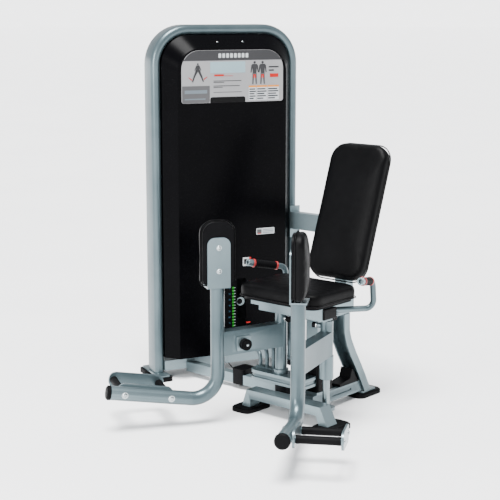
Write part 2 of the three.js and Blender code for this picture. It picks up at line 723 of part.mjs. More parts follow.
function floorBar() {
  const half = FLOOR_BAR_WIDTH / 2;
  const bar = box(-900, -RAIL_WIDTH / 2 - GAP, FLOOR_BAR_Y - half, FLOOR_BAR_Y + half, FLOOR_BAR_BOTTOM, FLOOR_BAR_TOP);
  const insideTower = box(-400, halfDepth + GAP, -500, 500, -10, 300).applyMatrix4(tower.matrix);
  return cut(bar, insideTower);
}

piece(machine, 'floor_bar', floorBar(), 'paint');

piece(machine, 'pulley_cover', cut(
  slab(roundedRectangle(blockX.from, blockX.to, blockY.from, blockY.to, 12), blockZ.from, blockZ.to),
  box(
    blockX.from - 5, blockX.to + 5, FLOOR_BAR_Y - FLOOR_BAR_WIDTH / 2 - GAP, FLOOR_BAR_Y + FLOOR_BAR_WIDTH / 2 + GAP,
    FLOOR_BAR_BOTTOM - GAP, FLOOR_BAR_TOP + GAP,
  ),
), 'black');

// ---------------------------------------------------------------- seat and backrest
function seatFrame() {
  const spineHalf = SPINE_WIDTH / 2;
  const beam = box(-BEAM_HALF_LENGTH, BEAM_HALF_LENGTH, BEAM_FRONT, BEAM_REAR, 474, SEAT_BOTTOM - GAP);
  const channel = box(-150, BEAM_HALF_LENGTH, BEAM_FRONT + 6, BEAM_REAR - 6, 452, 475);
  const carrier = box(-158, 158, BEAM_REAR - 8, 34, CARRIER_BOTTOM, CARRIER_TOP);
  const spine = sideSlab([
    v2(BEAM_REAR - 1, SEAT_BOTTOM - GAP), v2(BEAM_REAR - 1, 453), v2(30, 453), v2(POST_FRONT - 5, 400),
    v2(SPINE_REAR, 400), v2(SPINE_REAR, SEAT_BOTTOM - GAP),
  ], -spineHalf, spineHalf);
  return join(beam, channel, carrier, spine);
}

piece(machine, 'seat_frame', seatFrame(), 'paint');

piece(machine, 'beam_cap', frontSlab(
  roundedRectangle(BEAM_HALF_LENGTH + GAP, BEAM_HALF_LENGTH + 13, 462, SEAT_BOTTOM - 1, 5), BEAM_FRONT - 3, BEAM_REAR + 3,
), 'black');

[['left', 1], ['right', -1]].forEach(([hand, side]) => {
  const x = side * PIVOT_X;
  const block = slab(roundedRectangle(x - 32, x + 32, -32, 32, 8), SLEEVE_TOP + 4, CARRIER_BOTTOM - GAP);
  piece(machine, `bearing_block_${hand}`, cut(block, upright(SHAFT_RADIUS + RUNNING, x, 0, 0, 600)), 'black');
});

function seatCushion() {
  const half = SEAT_WIDTH / 2;
  const body = slab(roundedRectangle(-half, half, SEAT_FRONT, SEAT_REAR, 45, 30), SEAT_BOTTOM, SEAT_TOP);
  const underFront = sideSlab([
    v2(SEAT_FRONT - 10, SEAT_BOTTOM - 10), v2(BEAM_FRONT - 8, SEAT_BOTTOM - 10),
    v2(BEAM_FRONT - 20, SEAT_BOTTOM), v2(SEAT_FRONT - 10, SEAT_BOTTOM + 28),
  ], -half - 10, half + 10);
  return cut(body, underFront);
}

piece(machine, 'seat_cushion', seatCushion(), 'vinyl');

// The backrest is drawn standing upright with its front face on y = 0, then leaned back into place.
const lean = new THREE.Matrix4().makeRotationX(-rad(BACK_RECLINE));
lean.setPosition(0, BACK_CENTRE.y, BACK_CENTRE.z);

function backCushion() {
  const half = BACK_LENGTH / 2;
  const outline = roundedRectangle(-BACK_WIDTH / 2, BACK_WIDTH / 2, -half, half, 75, 75, 8);
  return frontSlab(outline, 0, BACK_THICKNESS).applyMatrix4(lean);
}

piece(machine, 'back_cushion', backCushion(), 'vinyl');

const backSide = BACK_THICKNESS + GAP;
const kneeZ = 600;
const kneeDrop = (kneeZ - BACK_CENTRE.z) / Math.cos(rad(BACK_RECLINE));

function backSupport() {
  const half = POST_PLATE_WIDTH / 2;
  const strut = box(-half, half, backSide, backSide + POST_PLATE_DEPTH, kneeDrop, 120).applyMatrix4(lean);
  const back = v3(0, backSide, kneeDrop).applyMatrix4(lean);
  const rear = v3(0, backSide + POST_PLATE_DEPTH, kneeDrop).applyMatrix4(lean);
  const foot = sideSlab([
    v2(back.y, SEAT_BOTTOM), v2(SPINE_REAR, SEAT_BOTTOM), v2(rear.y + 12, rear.z + 18),
    v2(rear.y, rear.z + 1), v2(back.y + 1, back.z + 1),
  ], -half, half);
  return join(strut, foot);
}

piece(machine, 'back_support', backSupport(), 'paint');

const bracketX = halfDepth + GAP;

function brace() {
  const half = BRACE_WIDTH / 2;
  const tall = (BRACE_TOP - BRACE_BOTTOM) / 2;
  const z = BRACE_BOTTOM + tall;
  const start = v3(bracketX + 4, legY, z).applyMatrix4(tower.matrix);
  const line = bent([start, v3(-165, start.y, z), v3(0, start.y - 190, z), v3(0, BACK_CENTRE.y - 40, z)], 60, 12);
  const section = [v2(-half, -tall), v2(half, -tall), v2(half, tall), v2(-half, tall)];
  const plate = box(bracketX, bracketX + 9, innerHalfWidth + 3, legY + 32, BRACE_BOTTOM - 42, BRACE_TOP + 28)
    .applyMatrix4(tower.matrix);
  const clearOfStrut = box(-200, 200, -400, backSide + POST_PLATE_DEPTH + GAP, -600, 400).applyMatrix4(lean);
  const clearOfLeg = box(-300, bracketX, -500, 500, 0, TOWER_HEIGHT).applyMatrix4(tower.matrix);
  return cut(join(sweep(section, line, v3(0, 1, 0)), plate), clearOfStrut, clearOfLeg);
}

piece(machine, 'brace', brace(), 'paint');

const handleLine = [
  v3(88, -28, 470), v3(235, 165, 470), v3(230, 161, 583), v3(296, -12, 618),
];

function along(from, to, distance) {
  return from.clone().addScaledVector(to.clone().sub(from).normalize(), distance);
}

function handleTube() {
  const [, , knee, tip] = handleLine;
  const tube = sweep(circle(HANDLE_RADIUS, 20), bent(handleLine, 34, 10), v3(0, 0, 1));
  const ferrule = rod(GRIP_RADIUS - 1, along(tip, knee, FERRULE_LENGTH), tip, 24);
  return cut(join(tube, ferrule), rod(9, along(tip, knee, 14), along(tip, knee, -5), 20));
}

function handleGrip() {
  const [, , knee, tip] = handleLine;
  const to = along(tip, knee, FERRULE_LENGTH + GAP);
  const from = along(to, knee, GRIP_LENGTH);
  return cut(rod(GRIP_RADIUS, from, to, 24), rod(HANDLE_RADIUS + GAP, along(from, to, -20), along(to, from, -20), 20));
}

piece(machine, 'handle_tube_left', handleTube(), 'paint');
piece(machine, 'handle_tube_right', mirrored(handleTube()), 'paint');
piece(machine, 'handle_grip_left', handleGrip(), 'rubber');
piece(machine, 'handle_grip_right', mirrored(handleGrip()), 'rubber');

// ---------------------------------------------------------------- arms, drawn about the left pivot
const linkWay = v3(Math.sin(rad(LINK_SPLAY)), -Math.cos(rad(LINK_SPLAY)), 0);
const linkInner = v3(linkWay.y, -linkWay.x, 0);
const uprightFoot = linkWay.clone().multiplyScalar(LINK_LENGTH);

// Frame of the foot tube: along it, outwards from it, and square to both.
const tubeAlong = v3(
  Math.sin(rad(FOOT_SPLAY)) * Math.cos(rad(FOOT_RISE)),
  -Math.cos(rad(FOOT_SPLAY)) * Math.cos(rad(FOOT_RISE)),
  Math.sin(rad(FOOT_RISE)),
);
const tubeOut = v3(Math.cos(rad(FOOT_SPLAY)), Math.sin(rad(FOOT_SPLAY)), 0);
const tubeUp = tubeOut.clone().cross(tubeAlong);
const bendPoint = uprightFoot.clone().setZ(ARM_FOOT_Z);
const tubeEnd = bendPoint.clone().addScaledVector(tubeAlong, FOOT_LENGTH);

// x outwards, y up, z back along the tube from its end
const footFrame = new THREE.Matrix4().makeBasis(tubeOut, tubeUp.clone().negate(), tubeAlong.clone().negate());
footFrame.setPosition(tubeEnd);
// x outwards, y towards the toes' end, z up, at the upright
const padFrame = new THREE.Matrix4().makeBasis(tubeOut, v3(-tubeOut.y, tubeOut.x, 0), v3(0, 0, 1));
padFrame.setPosition(uprightFoot);
// x along the inner normal of the link, y out along the link, z up, at the pivot
const linkFrame = new THREE.Matrix4().makeBasis(linkInner, linkWay, v3(0, 0, 1));

const plateOuter = PAD_PLATE_SETBACK - ARM_TUBE_RADIUS;

function padPlate() {
  const flange = box(
    plateOuter - PAD_PLATE, plateOuter + PAD_THICKNESS, -PAD_PLATE_WIDTH / 2, PAD_PLATE_WIDTH / 2, ARM_TOP - 1, ARM_TOP + 7,
  );
  const half = PAD_PLATE_WIDTH / 2;
  const face = sideSlab(roundedRectangle(-half, half, ARM_TOP, PAD_PLATE_TOP, 1, 32), plateOuter - PAD_PLATE, plateOuter);
  return join(flange, face).applyMatrix4(padFrame);
}

function bumperBracket() {
  const face = LINK_WIDTH / 2;
  return box(face - 2, face + 9, BUMPER_REACH - 33, BUMPER_REACH + 33, 300, 357).applyMatrix4(linkFrame);
}

function indexBoss() {
  return rod(11, v3(SLEEVE_RADIUS - 4, 0, INDEX_Z), v3(SLEEVE_RADIUS + 12, 0, INDEX_Z)).applyMatrix4(linkFrame);
}

function arm(hasCollar) {
  const tubeLine = bent([uprightFoot.clone().setZ(ARM_TOP), bendPoint, tubeEnd], ARM_BEND_RADIUS, 7.5);
  const link = box(-LINK_WIDTH / 2, LINK_WIDTH / 2, 5, LINK_LENGTH, LINK_BOTTOM, LINK_TOP).applyMatrix4(linkFrame);
  const parts = [
    upright(SLEEVE_RADIUS, 0, 0, SLEEVE_BOTTOM, SLEEVE_TOP, 32),
    link,
    sweep(circle(ARM_TUBE_RADIUS, 32), tubeLine, tubeOut),
    padPlate(),
    bumperBracket(),
    indexBoss(),
  ];
  if (hasCollar) parts.push(upright(COLLAR_RADIUS, 0, 0, SLEEVE_BOTTOM + 2, COLLAR_TOP, 32));
  const pinHole = rod(INDEX_PIN_RADIUS + RUNNING, v3(0, 0, INDEX_Z), v3(100, 0, INDEX_Z)).applyMatrix4(linkFrame);
  return cut(join(...parts), upright(SHAFT_RADIUS + RUNNING, 0, 0, 0, 600), pinHole);
}

function thighPad() {
  const half = PAD_WIDTH / 2;
  const outline = roundedRectangle(-half, half, ARM_TOP + 7 + GAP, PAD_TOP, 14, 55, 8);
  return sideSlab(outline, plateOuter + GAP, plateOuter + PAD_THICKNESS).applyMatrix4(padFrame);
}

// Two bars between two plates; the inner plate is bolted to the side of the foot tube.
function footRest() {
  const middle = (REST_FRONT_BAR + REST_REAR_BAR) / 2;
  const half = REST_LENGTH / 2;
  const tall = REST_HEIGHT / 2;
  const inner = ARM_TUBE_RADIUS + GAP;
  const toEdge = new THREE.Matrix4().makeBasis(v3(0, 0, 1), v3(0, 1, 0), v3(-1, 0, 0));
  const plate = (x) => slab(roundedRectangle(middle - half, middle + half, -tall, tall, 30), -x - REST_PLATE, -x)
    .applyMatrix4(toEdge);
  const bar = (z) => rod(REST_BAR_RADIUS, v3(inner + 2, 0, z), v3(REST_WIDTH - 2, 0, z), 24);
  return join(plate(inner), plate(REST_WIDTH - REST_PLATE), bar(REST_FRONT_BAR), bar(REST_REAR_BAR))
    .applyMatrix4(footFrame);
}

function endCap() {
  const dome = new THREE.LatheGeometry([
    v2(0, 0), v2(ARM_TUBE_RADIUS + 1, 0), v2(ARM_TUBE_RADIUS + 1, CAP_LENGTH - 6),
    v2(ARM_TUBE_RADIUS - 5, CAP_LENGTH), v2(0, CAP_LENGTH),
  ], 32);
  return dome.rotateX(-Math.PI / 2).translate(0, 0, -GAP).applyMatrix4(footFrame);
}

function bumper() {
  const from = LINK_WIDTH / 2 + 9 + GAP;
  const line = [v3(from, BUMPER_REACH, 326), v3(from + BUMPER_LENGTH, BUMPER_REACH, 326)];
  return join(
    rod(BUMPER_RADIUS, line[0], along(line[1], line[0], 5), 28),
    rod(BUMPER_RADIUS - 5, line[0], line[1], 28),
  ).applyMatrix4(linkFrame);
}

function indexPin() {
  const tip = SHAFT_RADIUS + RUNNING + 0.5;
  const knob = SLEEVE_RADIUS + 14;
  return join(
    rod(INDEX_PIN_RADIUS, v3(tip, 0, INDEX_Z), v3(knob + 2, 0, INDEX_Z), 16),
    rod(12, v3(knob, 0, INDEX_Z), v3(knob + 22, 0, INDEX_Z), 24),
  ).applyMatrix4(linkFrame);
}

const shaftTop = CARRIER_BOTTOM - GAP;

[['left', (g) => g, PIVOT_X], ['right', mirrored, -PIVOT_X]].forEach(([hand, hand3d, x]) => {
  const side = new THREE.Group();
  side.position.set(x, 0, 0);
  machine.add(side);
  piece(side, `pivot_shaft_${hand}`, upright(SHAFT_RADIUS, 0, 0, SHAFT_BOTTOM, shaftTop), 'steel');
  piece(side, `arm_${hand}`, hand3d(arm(hand === 'left')), 'paint');
  piece(side, `thigh_pad_${hand}`, hand3d(thighPad()), 'vinyl');
  piece(side, `foot_rest_${hand}`, hand3d(footRest()), 'paint');
  piece(side, `arm_end_cap_${hand}`, hand3d(endCap()), 'rubber');
  piece(side, `bumper_${hand}`, hand3d(bumper()), 'rubber');
  piece(side, `index_pin_${hand}`, hand3d(indexPin()), 'black');
});

// The cam turns with the right-hand shaft and pulls the cable.
function cam() {
  const bottom = SHAFT_BOTTOM + 5;
  const body = join(
    upright(SHAFT_RADIUS + 10, -PIVOT_X, 0, bottom, bottom + CAM_THICKNESS, 28),
    upright(42, 24 - PIVOT_X, 42, bottom, bottom + CAM_THICKNESS, 36),
  );
  return cut(body, upright(SHAFT_RADIUS + GAP, -PIVOT_X, 0, 0, 300));
}

piece(machine, 'cam', cam(), 'castIron');

// ---------------------------------------------------------------- origin under the middle
machine.updateMatrixWorld(true);
const bounds = new THREE.Box3().setFromObject(machine, true);
const middle = bounds.getCenter(v3(0, 0, 0));
machine.position.set(-middle.x, -middle.y, -bounds.min.z);

export default machine;
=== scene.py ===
"""Looks for the seated hip adductor machine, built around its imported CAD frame. Metres, +Z up."""

import json
import math

import bmesh
import bpy
from mathutils import Matrix, Vector


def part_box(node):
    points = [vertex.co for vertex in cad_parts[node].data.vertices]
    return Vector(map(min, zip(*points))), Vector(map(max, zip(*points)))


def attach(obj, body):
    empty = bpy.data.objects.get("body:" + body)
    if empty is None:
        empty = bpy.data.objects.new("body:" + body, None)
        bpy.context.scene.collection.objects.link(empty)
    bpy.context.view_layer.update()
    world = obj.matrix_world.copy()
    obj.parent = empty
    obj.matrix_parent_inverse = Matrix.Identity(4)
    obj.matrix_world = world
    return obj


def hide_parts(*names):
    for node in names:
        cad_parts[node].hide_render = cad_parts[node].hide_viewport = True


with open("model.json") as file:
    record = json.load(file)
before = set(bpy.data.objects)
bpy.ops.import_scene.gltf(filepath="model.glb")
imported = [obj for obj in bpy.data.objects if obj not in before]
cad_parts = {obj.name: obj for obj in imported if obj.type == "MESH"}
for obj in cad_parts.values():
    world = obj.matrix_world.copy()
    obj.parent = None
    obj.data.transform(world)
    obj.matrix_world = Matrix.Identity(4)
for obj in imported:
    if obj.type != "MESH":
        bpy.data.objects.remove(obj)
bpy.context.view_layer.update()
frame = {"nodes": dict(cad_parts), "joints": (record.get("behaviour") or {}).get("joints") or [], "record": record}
NODES = frame["nodes"]
SCENE = bpy.context.scene

# ---------------------------------------------------------------- places, from the frame
JOINTS = {joint["name"]: joint for joint in frame["joints"]}
RIGHT_PIVOT = Vector(JOINTS["press_right"]["pos_m"])
LEFT_PIVOT = Vector(JOINTS["press_left"]["pos_m"])
SEAT = Vector(((LEFT_PIVOT.x + RIGHT_PIVOT.x) / 2, LEFT_PIVOT.y, 0))

TOWER_FACE = 0.120  # front face of the shroud, from the tower's middle plane
SLOT_WIDTH = 0.046
PLATE_PITCH = 0.0275
LINK_SPLAY = math.radians(16.7)
LINK_LENGTH = 0.310
FOOT_SPLAY = math.radians(32)
FOOT_RISE = math.radians(9)
FOOT_BEND_Z = 0.095
FOOT_LENGTH = 0.452
TUBE_RADIUS = 0.029
PAD_BACK = 0.022  # back of a thigh pad, inward from the middle of its tube
PAD_PLATE = 0.007
PAD_DEPTH = 0.060
BACK_RECLINE = math.radians(19)


def centre(node):
    low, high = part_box(node)
    return (low + high) / 2


hoop = centre("tower_hoop")
TOWER_NORMAL = Vector(JOINTS["selector_pin_pull"]["axis"]).normalized()
TOWER_ACROSS = Vector((-TOWER_NORMAL.y, TOWER_NORMAL.x, 0))
TOWER_CENTRE = Vector((hoop.x, hoop.y, 0))


def basis(x, y, z, origin):
    return Matrix.Translation(origin) @ Matrix((x, y, z)).transposed().to_4x4()


# Tower frame for flat artwork: x across the face, y up, z out of it.
TOWER = basis(TOWER_ACROSS, Vector((0, 0, 1)), TOWER_NORMAL, TOWER_CENTRE)


# ---------------------------------------------------------------- camera
def make_camera():
    azimuth = math.radians(41)
    pitch = math.radians(10.6)
    data = bpy.data.cameras.new("camera")
    data.lens = 92.8
    data.sensor_width = 36
    camera = bpy.data.objects.new("camera", data)
    camera.location = SEAT + Vector((3.229, -4.052, 1.675))
    camera.rotation_euler = (math.pi / 2 - pitch, 0, azimuth)
    SCENE.collection.objects.link(camera)
    SCENE.camera = camera


make_camera()


# ---------------------------------------------------------------- materials
class Nodes:
    """A small helper that makes and links shader nodes."""

    def __init__(self, name):
        self.material = bpy.data.materials.new(name)
        self.material.use_nodes = True
        self.tree = self.material.node_tree
        self.shader = self.tree.nodes["Principled BSDF"]
        coordinates = self.tree.nodes.new("ShaderNodeTexCoord")
        self.place = coordinates.outputs["Object"]

    def add(self, kind, inputs=None, **settings):
        node = self.tree.nodes.new(kind)
        for key, value in settings.items():
            setattr(node, key, value)
        for key, value in (inputs or {}).items():
            self.put(node.inputs[key], value)
        return node

    def put(self, socket, value):
        if isinstance(value, bpy.types.NodeSocket):
            self.tree.links.new(value, socket)
        else:
            socket.default_value = value

    def noise(self, scale, detail):
        node = self.add("ShaderNodeTexNoise", {"Vector": self.place, "Scale": scale, "Detail": detail})
        return node.outputs["Fac"]

    def ramp(self, factor, low, high, from_value=0.3, to_value=0.7):
        node = self.add("ShaderNodeMapRange", {
            "Value": factor, "From Min": from_value, "From Max": to_value, "To Min": low, "To Max": high,
        })
        return node.outputs["Result"]

    def mix(self, factor, first, second):
        node = self.add("ShaderNodeMix", data_type="RGBA")
        self.put(node.inputs[0], factor)
        self.put(node.inputs[6], first)
        self.put(node.inputs[7], second)
        return node.outputs[2]

    def bump(self, height, strength, distance, bevel=0.0):
        settings = {"Height": height, "Strength": strength, "Distance": distance}
        if bevel:
            settings["Normal"] = self.add("ShaderNodeBevel", {"Radius": bevel}, samples=4).outputs["Normal"]
        return self.add("ShaderNodeBump", settings).outputs["Normal"]

    def edges(self, start=0.53, end=0.62):
        pointiness = self.add("ShaderNodeNewGeometry").outputs["Pointiness"]
        return self.ramp(pointiness, 0.0, 1.0, start, end)


def rgb(red, green, blue):
    return (red, green, blue, 1.0)


def surface(name, dark, light, roughness, grain, bump, metallic=0.0, specular=0.5, coat=0.0, bevel=0.0015,
            blotch=6.0, edge=None, sheen=0.0):
    """A finish with slow colour variation, fine grain in bump and roughness, and worn edges."""
    made = Nodes(name)
    shader = made.shader
    slow = made.noise(blotch, 5.0)
    fine = made.noise(grain, 3.0)
    colour = made.mix(made.ramp(slow, 0.0, 1.0), rgb(*dark), rgb(*light))
    if edge:
        colour = made.mix(made.ramp(made.edges(), 0.0, 0.7, 0.0, 1.0), colour, rgb(*edge))
    made.put(shader.inputs["Base Color"], colour)
    made.put(shader.inputs["Roughness"], made.ramp(fine, roughness * 0.86, roughness * 1.14))
    shader.inputs["Metallic"].default_value = metallic
    shader.inputs["Specular IOR Level"].default_value = specular
    shader.inputs["Coat Weight"].default_value = coat
    shader.inputs["Coat Roughness"].default_value = 0.12
    shader.inputs["Sheen Weight"].default_value = sheen
    made.put(shader.inputs["Normal"], made.bump(fine, bump, 0.0006, bevel))
    return made.material


def leather_grain(name, dark, light, roughness):
    """Upholstery vinyl: pebbled cells, faint creases and a soft sheen."""
    made = Nodes(name)
    shader = made.shader
    cells = made.add("ShaderNodeTexVoronoi", {"Vector": made.place, "Scale": 420.0}).outputs["Distance"]
    creases = made.noise(38.0, 6.0)
    slow = made.noise(5.0, 3.0)
    height = made.add("ShaderNodeMath", {0: cells, 1: creases}, operation="ADD").outputs[0]
    made.put(shader.inputs["Base Color"], made.mix(made.ramp(slow, 0.0, 1.0), rgb(*dark), rgb(*light)))
    made.put(shader.inputs["Roughness"], made.ramp(creases, roughness * 0.85, roughness * 1.15))
    shader.inputs["Specular IOR Level"].default_value = 0.07
    made.put(shader.inputs["Normal"], made.bump(height, 0.35, 0.0008))
    return made.material


FINISHES = {
    "silver_paint": surface(
        "silver_paint", (0.050, 0.077, 0.087), (0.080, 0.113, 0.125), 0.31, 900.0, 0.12, metallic=0.65,
        coat=0.12, edge=(0.20, 0.26, 0.28)),
    "bright_steel": surface(
        "bright_steel", (0.13, 0.165, 0.175), (0.22, 0.26, 0.27), 0.28, 700.0, 0.08, metallic=1.0),
    "cast_iron": surface(
        "cast_iron", (0.005, 0.006, 0.007), (0.010, 0.011, 0.013), 0.55, 260.0, 0.5, metallic=0.1,
        specular=0.15),
    "shroud_black": surface(
        "shroud_black", (0.0004, 0.0004, 0.0007), (0.0008, 0.0008, 0.0012), 0.26, 500.0, 0.05,
        specular=0.035),
    "black_plastic": surface(
        "black_plastic", (0.001, 0.001, 0.0014), (0.0022, 0.0022, 0.0027), 0.42, 650.0, 0.3, specular=0.06),
    "rubber": surface(
        "rubber", (0.001, 0.001, 0.0013), (0.0026, 0.0026, 0.003), 0.6, 420.0, 0.4, specular=0.06),
    "label": surface(
        "label", (0.20, 0.20, 0.205), (0.23, 0.23, 0.235), 0.45, 800.0, 0.05, bevel=0.0005),
    "vinyl": leather_grain("vinyl", (0.0006, 0.0006, 0.0008), (0.0014, 0.0014, 0.0017), 0.42),
}

RED = surface("red_ring", (0.24, 0.005, 0.006), (0.30, 0.009, 0.009), 0.4, 500.0, 0.1)
BOLT = surface(
    "bolt_steel", (0.34, 0.38, 0.39), (0.46, 0.50, 0.51), 0.22, 900.0, 0.1, metallic=1.0, bevel=0.0006)


def ink(name, red, green, blue, roughness=0.5):
    dark = (red * 0.92, green * 0.92, blue * 0.92)
    return surface(name, dark, (red, green, blue), roughness, 1200.0, 0.03, specular=0.12, bevel=0.0)


INKS = {
    "charcoal": ink("ink_charcoal", 0.032, 0.032, 0.034),
    "text": ink("ink_text", 0.010, 0.010, 0.012),
    "grey": ink("ink_grey", 0.075, 0.075, 0.078),
    "slate": ink("ink_slate", 0.115, 0.14, 0.16),
    "white": ink("ink_white", 0.42, 0.44, 0.45),
    "sky": ink("ink_sky", 0.22, 0.31, 0.34),
    "red": ink("ink_red", 0.36, 0.012, 0.010),
    "orange": ink("ink_orange", 0.55, 0.20, 0.03),
    "green": ink("ink_green", 0.006, 0.15, 0.006),
    "blue": ink("ink_blue", 0.015, 0.05, 0.08),
    "black": ink("ink_black", 0.0004, 0.0004, 0.0006),
    "silver": ink("ink_silver", 0.20, 0.23, 0.24),
}


# ---------------------------------------------------------------- making pieces
def new_object(name, mesh, body, material):
    piece = bpy.data.objects.new(name, mesh)
    SCENE.collection.objects.link(piece)
    piece.data.materials.append(material)
    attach(piece, body)
    return piece


def smooth(piece, angle=35):
    """Rounds the shading of curved faces and keeps edges sharper than `angle`."""
    for polygon in piece.data.polygons:
        polygon.use_smooth = True
    weld = piece.modifiers.new("weld", "WELD")
    weld.merge_threshold = 0.00002
    split = piece.modifiers.new("split", "EDGE_SPLIT")
    split.split_angle = math.radians(angle)


def to_mesh(name, build, place=None):
    """Runs build(bm) on an empty bmesh and returns the mesh, moved by the matrix `place`."""
    bm = bmesh.new()
    build(bm)
    bmesh.ops.recalc_face_normals(bm, faces=bm.faces)
    if place is not None:
        bm.transform(place)
    mesh = bpy.data.meshes.new(name)
    bm.to_mesh(mesh)
    bm.free()
    return mesh


def arc(cx, cy, radius, start, end, steps=5):
    turn = [math.radians(start + (end - start) * i / steps) for i in range(steps + 1)]
    return [(cx + radius * math.cos(a), cy + radius * math.sin(a)) for a in turn]


def rounded(x0, x1, y0, y1, radius, top=None, steps=5):
    top = radius if top is None else top
    return (
        arc(x1 - radius, y0 + radius, radius, -90, 0, steps)
        + arc(x1 - top, y1 - top, top, 0, 90, steps)
        + arc(x0 + top, y1 - top, top, 90, 180, steps)
        + arc(x0 + radius, y0 + radius, radius, 180, 270, steps)
    )


def extrude(bm, outline, z0, z1):
    low = [bm.verts.new((x, y, z0)) for x, y in outline]
    high = [bm.verts.new((x, y, z1)) for x, y in outline]
    bm.faces.new(low[::-1])
    bm.faces.new(high)
    for i in range(len(outline)):
        j = (i + 1) % len(outline)
        bm.faces.new((low[i], low[j], high[j], high[i]))


def turned(bm, profile, sides=28):
    """Turns a profile of (radius, z) points, closed at both ends on the axis, about z."""
    rings = []
    for radius, z in profile:
        if radius < 1e-7:
            rings.append([bm.verts.new((0, 0, z))])
            continue
        angles = [2 * math.pi * i / sides for i in range(sides)]
        rings.append([bm.verts.new((radius * math.cos(a), radius * math.sin(a), z)) for a in angles])
    for low, high in zip(rings, rings[1:]):
        for i in range(sides):
            j = (i + 1) % sides
            corners = [low[i % len(low)], low[j % len(low)], high[j % len(high)], high[i % len(high)]]
            unique = list(dict.fromkeys(corners))
            if len(unique) > 2:
                bm.faces.new(unique)


def facing(direction, origin):
    """Matrix whose z axis points along `direction`, placed at `origin`."""
    return Matrix.Translation(origin) @ direction.to_track_quat("Z", "Y").to_matrix().to_4x4()


def turned_piece(name, profile, direction, origin, body, material, sides=28):
    mesh = to_mesh(name, lambda bm: turned(bm, profile, sides), facing(direction, origin))
    piece = new_object(name, mesh, body, material)
    smooth(piece, 32)
    return piece


def bolt(name, origin, direction, body, radius=0.008, height=0.005):
    """A domed button head with a round socket recess, on a thin washer."""
    profile = [
        (0, 0), (radius * 1.3, 0), (radius * 1.3, 0.0012), (radius, 0.0012),
        (radius * 0.96, height * 0.55), (radius * 0.75, height * 0.88), (radius * 0.48, height),
        (radius * 0.44, height * 0.45), (0, height * 0.45),
    ]
    return turned_piece(name, profile, direction, origin, body, BOLT, 24)


# ---------------------------------------------------------------- CAD nodes keep their shape
REPLACED = {"seat_cushion", "back_cushion", "thigh_pad_left", "thigh_pad_right"}


def dress_cad_nodes():
    slots = {row["node"]: row["material_slot"] for row in frame["record"]["subparts"]}
    for name, node in NODES.items():
        node.data.materials.clear()
        node.data.materials.append(FINISHES[slots[name]])
        if name not in REPLACED:
            smooth(node, 32)


dress_cad_nodes()


# ---------------------------------------------------------------- cushions
def crowned(bm, outline, depth, crown, back=0.0, edge=0.013, rings=7):
    """A pad standing on z = back whose face is crowned and whose sides round over into it."""
    cx = sum(p[0] for p in outline) / len(outline)
    cy = sum(p[1] for p in outline) / len(outline)
    half = min(max(abs(p[0] - cx) for p in outline), max(abs(p[1] - cy) for p in outline))
    layers = []
    for step in range(4):
        turn = math.pi / 2 * step / 3
        scale = 1 - edge * 0.45 * (1 - math.sin(turn)) / half
        layers.append((scale, back + edge * 0.45 * (1 - math.cos(turn))))
    layers.append((1.0 + 0.0012 / half, (back + depth) / 2))
    for step in range(6):
        turn = math.pi / 2 * step / 5
        scale = 1 - edge * (1 - math.cos(turn)) / half
        layers.append((scale, depth - crown - edge * (1 - math.sin(turn))))
    for step in range(1, rings):
        share = 1 - step / rings
        scale = (1 - edge / half) * share
        layers.append((scale, depth - crown * share ** 3))
    previous = None
    for scale, z in layers:
        ring = [bm.verts.new((cx + (x - cx) * scale, cy + (y - cy) * scale, z)) for x, y in outline]
        if previous is None:
            base = ring
        else:
            for i in range(len(ring)):
                j = (i + 1) % len(ring)
                bm.faces.new((previous[i], previous[j], ring[j], ring[i]))
        previous = ring
    tip = bm.verts.new((cx, cy, depth))
    for i in range(len(previous)):
        bm.faces.new((previous[i], previous[(i + 1) % len(previous)], tip))
    middle = bm.verts.new((cx, cy, back))
    for i in range(len(base)):
        bm.faces.new((base[(i + 1) % len(base)], base[i], middle))


def resample(outline, spacing):
    """Evenly spaced points along a closed outline."""
    points = [Vector((x, y)) for x, y in outline]
    lengths = [(points[(i + 1) % len(points)] - points[i]).length for i in range(len(points))]
    count = max(12, round(sum(lengths) / spacing))
    step = sum(lengths) / count
    made = []
    index = 0
    along = 0.0
    for _ in range(count):
        while along > lengths[index]:
            along -= lengths[index]
            index += 1
        start = points[index]
        end = points[(index + 1) % len(points)]
        made.append(tuple(start.lerp(end, along / max(lengths[index], 1e-9))))
        along += step
    return made


def inflate(piece, cap, pressure=4.0):
    """Cloth simulation under pressure, with each point's move limited to `cap`, applied to the mesh."""
    remesh = piece.modifiers.new("remesh", "REMESH")
    remesh.mode = "VOXEL"
    remesh.voxel_size = 0.0055
    bpy.context.view_layer.objects.active = piece
    bpy.ops.object.modifier_apply(modifier="remesh")
    rest = [vertex.co.copy() for vertex in piece.data.vertices]
    cloth = piece.modifiers.new("cloth", "CLOTH")
    cloth.settings.use_pressure = True
    cloth.settings.uniform_pressure_force = pressure
    cloth.settings.effector_weights.gravity = 0
    cloth.settings.quality = 4
    cloth.point_cache.frame_start = 1
    cloth.point_cache.frame_end = 20
    for number in range(1, 21):
        SCENE.frame_set(number)
    bpy.ops.object.modifier_apply(modifier="cloth")
    SCENE.frame_set(1)
    for vertex, start in zip(piece.data.vertices, rest):
        move = vertex.co - start
        if move.length > cap:
            vertex.co = start + move.normalized() * cap


